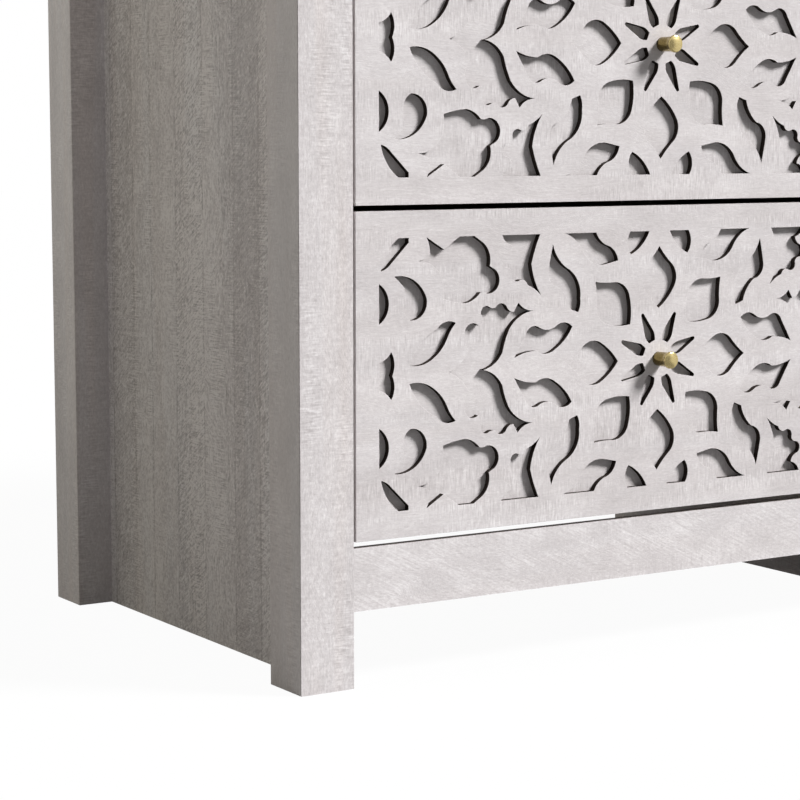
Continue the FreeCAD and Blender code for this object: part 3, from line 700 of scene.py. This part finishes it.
class DRESSER_OT_knobs(bpy.types.Operator):
    """Turn the brass knobs"""
    bl_idname = "dresser.knobs"
    bl_label = "Knobs"

    def execute(self, context):
        brass = brushed_brass()
        for drawer in DRAWERS:
            node = f"{drawer}_knob"
            piece = make_piece(f"{node}_turned", self.turned(context.scene.dresser_sizes, node),
                               drawer, "brass", brass)
            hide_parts(node)
        return {"FINISHED"}

    def profile(self, sizes, node):
        """(radius, distance from the base) along the knob, from its base to the middle of its end face."""
        low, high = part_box(node)
        head = (high.x - low.x) / 2
        end = high.y - low.y
        base, neck = sizes.knob_base / 2, sizes.knob_neck / 2
        points = [(0.0, 0.0), (base / 2, 0.0), (base, 0.0)]
        stem_parts = 6
        for part in range(1, stem_parts + 1):
            points.append((base + (neck - base) * part / stem_parts, sizes.knob_stem * part / stem_parts))
        flare_parts = 8
        for part in range(1, flare_parts + 1):
            turn = part / flare_parts
            points.append((neck + (head - neck) * turn * turn * (3 - 2 * turn),
                           sizes.knob_stem + sizes.knob_flare * turn))
        edge = sizes.knob_edge
        rim = end - sizes.knob_dome
        edge_parts = 8
        for part in range(edge_parts + 1):
            angle = math.pi / 2 * part / edge_parts
            points.append((head - edge + edge * math.cos(angle), rim - edge + edge * math.sin(angle)))
        face_parts = 6
        for part in range(1, face_parts + 1):
            outwards = 1 - part / face_parts
            points.append(((head - edge) * outwards, end - sizes.knob_dome * outwards ** 2))
        return points

    def turned(self, sizes, node):
        """The profile spun about the knob's axis."""
        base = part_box(node)[1].y
        axis = middle_of(node)
        bm = bmesh.new()
        turning = bm.verts.layers.float.new("turning")
        row = []
        travelled = 0.0
        for radius, along in self.profile(sizes, node):
            vert = bm.verts.new((axis.x + radius, base - along, axis.z))
            if row:
                travelled += (vert.co - row[-1].co).length
            vert[turning] = travelled
            row.append(vert)
        edges = [bm.edges.new(pair) for pair in zip(row, row[1:])]
        bmesh.ops.spin(bm, geom=row + edges, cent=axis, axis=(0, 1, 0), dvec=(0, 0, 0),
                       angle=math.tau, steps=sizes.knob_steps, use_merge=True)
        bmesh.ops.remove_doubles(bm, verts=bm.verts, dist=MERGE)
        bmesh.ops.recalc_face_normals(bm, faces=bm.faces)
        for face in bm.faces:
            face.smooth = True
        return bm


class DRESSER_OT_slides(bpy.types.Operator):
    """Give the slides and screws their zinc plate, and drive the screws that hold the slides"""
    bl_idname = "dresser.slides"
    bl_label = "Slides"

    def execute(self, context):
        sizes = context.scene.dresser_sizes
        zinc = zinc_steel()
        dress("runner_channels", zinc)
        head = self.screw_head(sizes)
        walls = []
        for drawer in DRAWERS:
            dress(f"{drawer}_runners", zinc)
            dress(f"{drawer}_knob_screw", zinc)
            low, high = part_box(f"{drawer}_box")
            column = "center_stile", f"side_panel_{drawer.split('_')[1]}"
            faces = sorted(face for node in column for face in (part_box(node)[0].x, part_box(node)[1].x))
            outer_low = max(face for face in faces if face < low.x)
            outer_high = min(face for face in faces if face > high.x)
            walls += self.spots(sizes, drawer, outer_low, 1) + self.spots(sizes, drawer, outer_high, -1)
            on_box = self.spots(sizes, drawer, low.x, -1) + self.spots(sizes, drawer, high.x, 1)
            make_piece(f"{drawer}_slide_screws", self.driven(head, on_box), drawer, "zinc_steel", zinc)
        make_piece("channel_screws", self.driven(head, walls), CARCASS, "zinc_steel", zinc)
        bpy.data.meshes.remove(head)
        return {"FINISHED"}

    def screw_head(self, sizes):
        """Mesh of a screw head like that of the knob screws, on the origin and facing along X."""
        node = f"{DRAWERS[0]}_knob_screw"
        low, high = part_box(node)
        middle = middle_of(node)
        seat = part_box(f"{DRAWERS[0]}_front")[1].y
        bm = merged_copy(node)
        bmesh.ops.bisect_plane(bm, geom=bm.verts[:] + bm.edges[:] + bm.faces[:], dist=MERGE,
                               plane_co=(0.0, seat, 0.0), plane_no=(0.0, 1.0, 0.0), clear_inner=True)
        bmesh.ops.holes_fill(bm, edges=[edge for edge in bm.edges if edge.is_boundary])
        broad = sizes.head_d / (high.x - low.x)
        shrunk = Matrix.Diagonal((broad, sizes.head_h / (high.y - seat), broad, 1.0))
        place = Matrix.Translation((-middle.x, -seat, -middle.z))
        sideways = Matrix.Rotation(math.radians(-90), 4, "Z")
        bmesh.ops.transform(bm, matrix=sideways @ shrunk @ place, verts=bm.verts)
        return finished_mesh("slide_screw_head", bm)

    def spots(self, sizes, drawer, face, towards):
        """Where the screws stand on a slide's web that lies on the plane x = face."""
        low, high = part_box(f"{drawer}_runners")
        ends = low.y + sizes.slide_end, high.y - sizes.slide_end
        return [(Vector((face + towards * sizes.slide_wall, y, (low.z + high.z) / 2)), towards)
                for y in (ends[0], sum(ends) / 2, ends[1])]

    def driven(self, head, spots):
        """Copies of the head at the spots."""
        bm = bmesh.new()
        for place, towards in spots:
            start = len(bm.verts)
            bm.from_mesh(head)
            bm.verts.ensure_lookup_table()
            turn = Matrix.Rotation(0.0 if towards > 0 else math.pi, 4, "Z")
            bmesh.ops.transform(bm, matrix=Matrix.Translation(place) @ turn, verts=bm.verts[start:])
        return bm


class DRESSER_OT_stage(bpy.types.Operator):
    """Set up the camera, the lamps, the white surroundings and the floor"""
    bl_idname = "dresser.stage"
    bl_label = "Stage"

    def execute(self, context):
        stage = context.scene.dresser_stage
        context.scene.view_settings.view_transform = "Standard"
        self.camera(context.scene, stage)
        self.distant_lamp("key_lamp", stage.key_from, stage.key_angle, stage.key)
        self.distant_lamp("back_lamp", stage.back_from, stage.back_angle, stage.back)
        self.fill_panel(stage)
        self.grey_card(stage)
        self.surroundings(context.scene, stage)
        self.floor(stage)
        return {"FINISHED"}

    def camera(self, scene, stage):
        """The camera at the viewing angle of the picture."""
        camera = bpy.data.objects.new("camera", bpy.data.cameras.new("camera"))
        camera.data.lens = stage.lens
        camera.location = stage.eye
        camera.rotation_euler = (math.radians(90) - stage.tilt, 0.0, stage.heading)
        scene.collection.objects.link(camera)
        scene.camera = camera

    def lamp(self, data, towards):
        """A lamp that shines from that direction."""
        lamp = bpy.data.objects.new(data.name, data)
        lamp.rotation_euler = Vector(towards).to_track_quat("Z", "Y").to_euler()
        bpy.context.scene.collection.objects.link(lamp)
        return lamp

    def distant_lamp(self, name, towards, angle, strength):
        """A broad lamp far away."""
        data = bpy.data.lights.new(name, "SUN")
        data.energy = strength
        data.angle = angle
        self.lamp(data, towards)

    def fill_panel(self, stage):
        """A large soft panel to the left, towards the back."""
        data = bpy.data.lights.new("fill_panel", "AREA")
        data.shape = "RECTANGLE"
        data.size, data.size_y = stage.fill_size
        # An even panel's power is its brightness times pi times its area
        data.energy = stage.fill * math.pi * data.size * data.size_y
        data.color = stage.warmth
        panel = self.lamp(data, (-1, 0, 0))
        panel.location = stage.fill_place
        panel.visible_camera = False
        panel.visible_glossy = False

    def grey_card(self, stage):
        """A dim card in front of the dresser, bent up from the floor, that only reflections show."""
        low, high = Vector(stage.card_low), Vector(stage.card_high)
        bm = bmesh.new()
        flat = bmesh.ops.create_grid(bm, x_segments=1, y_segments=1, size=0.5,
                                     matrix=Matrix.LocRotScale((low + high) / 2, None, high - low))
        for vert in flat["verts"]:
            vert.co.z = low.z
        far = [edge for edge in bm.edges if all(abs(vert.co.y - low.y) < MERGE for vert in edge.verts)]
        raised = bmesh.ops.extrude_edge_only(bm, edges=far)["geom"]
        bmesh.ops.translate(bm, verts=[part for part in raised if isinstance(part, bmesh.types.BMVert)],
                            vec=(0.0, 0.0, high.z - low.z))
        material, tree, shader = new_material("grey_card")
        tree.nodes.remove(shader)
        grey = add(tree, "ShaderNodeEmission", {"Color": WHITE, "Strength": stage.card})
        tree.links.new(grey.outputs[0], tree.nodes["Material Output"].inputs["Surface"])
        card = new_object("grey_card", bm, material)
        for rays in ("camera", "diffuse", "shadow", "transmission", "volume_scatter"):
            setattr(card, f"visible_{rays}", False)

    def seen(self, tree):
        """1 for what the eye, a reflection or glass shows, and 0 for light on the object."""
        path = add(tree, "ShaderNodeLightPath").outputs
        shown = math_node(tree, "MAXIMUM", path["Is Camera Ray"], path["Is Glossy Ray"])
        return math_node(tree, "MAXIMUM", shown, path["Is Transmission Ray"])

    def surroundings(self, scene, stage):
        """White where it is seen, and plain soft light on the object."""
        world = bpy.data.worlds.new("surroundings")
        world.use_nodes = True
        scene.world = world
        tree = world.node_tree
        soft = tree.nodes["Background"]
        soft.inputs["Color"].default_value = WHITE
        soft.inputs["Strength"].default_value = stage.ambient
        white = add(tree, "ShaderNodeBackground", {"Color": WHITE, "Strength": 1.0})
        mixed = add(tree, "ShaderNodeMixShader",
                    {0: self.seen(tree), 1: soft.outputs[0], 2: white.outputs[0]})
        tree.links.new(mixed.outputs[0], tree.nodes["World Output"].inputs["Surface"])

    def floor(self, stage):
        """A white floor that keeps a faint shadow."""
        material, tree, shader = new_material("floor_white")
        tree.nodes.remove(shader)
        bounce, grey = stage.floor_bounce, stage.floor_grey
        matt = add(tree, "ShaderNodeBsdfDiffuse", {"Color": (bounce, bounce, bounce, 1.0)})
        shaded = add(tree, "ShaderNodeBsdfDiffuse", {"Color": (grey, grey, grey, 1.0)})
        white = add(tree, "ShaderNodeEmission", {"Color": WHITE, "Strength": 1.0})
        shown = add(tree, "ShaderNodeMixShader",
                    {0: stage.floor_shadow, 1: white.outputs[0], 2: shaded.outputs[0]})
        both = add(tree, "ShaderNodeMixShader",
                   {0: self.seen(tree), 1: matt.outputs[0], 2: shown.outputs[0]})
        tree.links.new(both.outputs[0], tree.nodes["Material Output"].inputs["Surface"])
        bm = bmesh.new()
        bmesh.ops.create_grid(bm, x_segments=1, y_segments=1, size=stage.floor_size)
        new_object("floor", bm, material)


OPERATORS = (DRESSER_OT_carcass_boards, DRESSER_OT_back_and_joinery, DRESSER_OT_drawer_fronts,
             DRESSER_OT_drawer_boxes, DRESSER_OT_knobs, DRESSER_OT_slides, DRESSER_OT_stage)


class DRESSER_PT_tools(bpy.types.Panel):
    """The dresser's pieces, in the order in which they are made"""
    bl_idname = "DRESSER_PT_tools"
    bl_label = "Dresser"
    bl_space_type = "VIEW_3D"
    bl_region_type = "UI"
    bl_category = "Dresser"

    def draw(self, context):
        for operator in OPERATORS:
            self.layout.operator(operator.bl_idname)


GROUPS = {"dresser_oak": DresserOak, "dresser_boards": DresserBoards, "dresser_metal": DresserMetal,
          "dresser_sizes": DresserSizes, "dresser_stage": DresserStage}


def register():
    for name, group in GROUPS.items():
        bpy.utils.register_class(group)
        setattr(bpy.types.Scene, name, PointerProperty(type=group))
    for made in (*OPERATORS, DRESSER_PT_tools):
        bpy.utils.register_class(made)


def unregister():
    for made in reversed((*OPERATORS, DRESSER_PT_tools)):
        bpy.utils.unregister_class(made)
    for name, group in GROUPS.items():
        delattr(bpy.types.Scene, name)
        bpy.utils.unregister_class(group)


def main():
    """Make every piece and the stage."""
    register()
    bpy.ops.dresser.carcass_boards()
    bpy.ops.dresser.back_and_joinery()
    bpy.ops.dresser.drawer_fronts()
    bpy.ops.dresser.drawer_boxes()
    bpy.ops.dresser.knobs()
    bpy.ops.dresser.slides()
    bpy.ops.dresser.stage()


if __name__ == "__main__":
    main()
